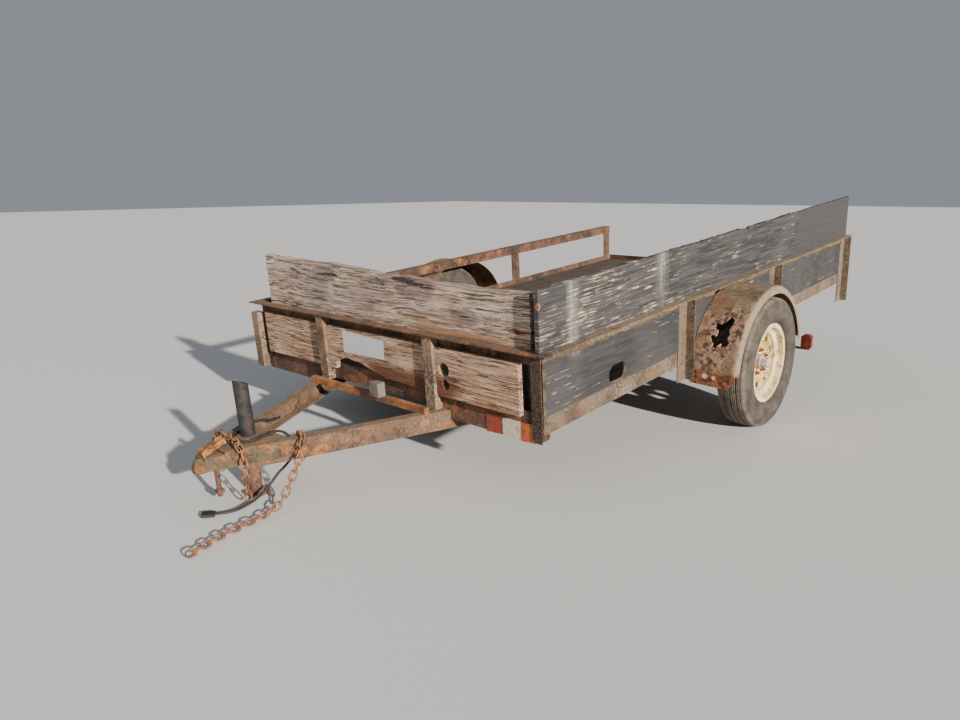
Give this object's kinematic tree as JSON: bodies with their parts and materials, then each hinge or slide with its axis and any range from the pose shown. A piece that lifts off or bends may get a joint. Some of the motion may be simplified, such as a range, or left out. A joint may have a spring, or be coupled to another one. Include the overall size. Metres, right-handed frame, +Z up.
{
  "type": "utility trailer",
  "caption": "Open single-axle utility trailer with an A-frame tongue, ball coupler, tongue jack, angle-iron bed and weathered board sides.",
  "frame": {"origin": "on the ground below the middle of the trailer's length and width, as it stands parked on its jack", "axes": "+X forward to the coupler, +Y to the trailer's left, +Z up; the deck is 4.33 degrees nose-down"},
  "size_m": [4.1314, 2.256, 1.0366],
  "materials": {
    "rusty_steel": "rusted old paint, rough",
    "fender_steel": "rusted sheet, rough",
    "weathered_wood": "weathered, bare",
    "grey_board": "peeling grey paint",
    "tyre_rubber": "dusty",
    "wheel_paint": "chalky cream paint with rust",
    "hub_steel": "worn",
    "galvanised": "dull zinc, blotchy",
    "latch_paint": "worn yellow-orange paint",
    "cable_jacket": "matt",
    "lamp_red": "faded"
  },
  "bodies": {
    "trailer": {"axle": "rusty_steel", "bar_block": "rusty_steel", "board_cleats": "weathered_wood", "bottom_rail_front": "rusty_steel", "bottom_rail_left": "rusty_steel", "bottom_rail_rear": "rusty_steel", "bottom_rail_right": "rusty_steel", "cable_plug": "cable_jacket", "chain_left": "rusty_steel", "chain_right": "rusty_steel", "corner_posts": "rusty_steel", "coupler": "rusty_steel", "coupler_clamp": "rusty_steel", "coupler_latch": "latch_paint", "crossmembers": "rusty_steel", "fender_left": "fender_steel", "fender_right": "fender_steel", "floor_planks": "weathered_wood", "front_boards": "weathered_wood", "front_uprights": "rusty_steel", "jack_collar": "galvanised", "jack_housing": "galvanised", "lamp_arms": "rusty_steel", "side_panels": "grey_board", "side_posts_left": "rusty_steel", "side_posts_right": "rusty_steel", "spring_left": "rusty_steel", "spring_mounts_left": "rusty_steel", "spring_mounts_right": "rusty_steel", "spring_right": "rusty_steel", "tail_lamps": "lamp_red", "tongue_crossbar": "rusty_steel", "tongue_rail_left": "rusty_steel", "tongue_rail_right": "rusty_steel", "top_rail_front": "rusty_steel", "top_rail_left": "rusty_steel", "top_rail_right": "rusty_steel", "upper_board_front": "weathered_wood", "upper_board_side": "grey_board", "wiring_cable": "cable_jacket"},
    "wheel_left": {"hub_left": "hub_steel", "rim_left": "wheel_paint", "tyre_left": "tyre_rubber"},
    "wheel_right": {"hub_right": "hub_steel", "rim_right": "wheel_paint", "tyre_right": "tyre_rubber"},
    "jack_leg": {"jack_leg": "galvanised", "jack_foot": "galvanised"}
  },
  "joints": [
    {"name": "wheel_left_spin", "type": "hinge", "parent": "trailer", "child": "wheel_left", "pos_m": [-0.36661, 1.039, 0.305], "axis": [0, 1, 0], "continuous": true},
    {"name": "wheel_right_spin", "type": "hinge", "parent": "trailer", "child": "wheel_right", "pos_m": [-0.36661, -1.039, 0.305], "axis": [0, 1, 0], "continuous": true},
    {"name": "jack_slide", "type": "slide", "parent": "trailer", "child": "jack_leg", "axis": [0.0755, 0, 0.9971], "range_m": [-0.15, 0.03]}
  ]
}
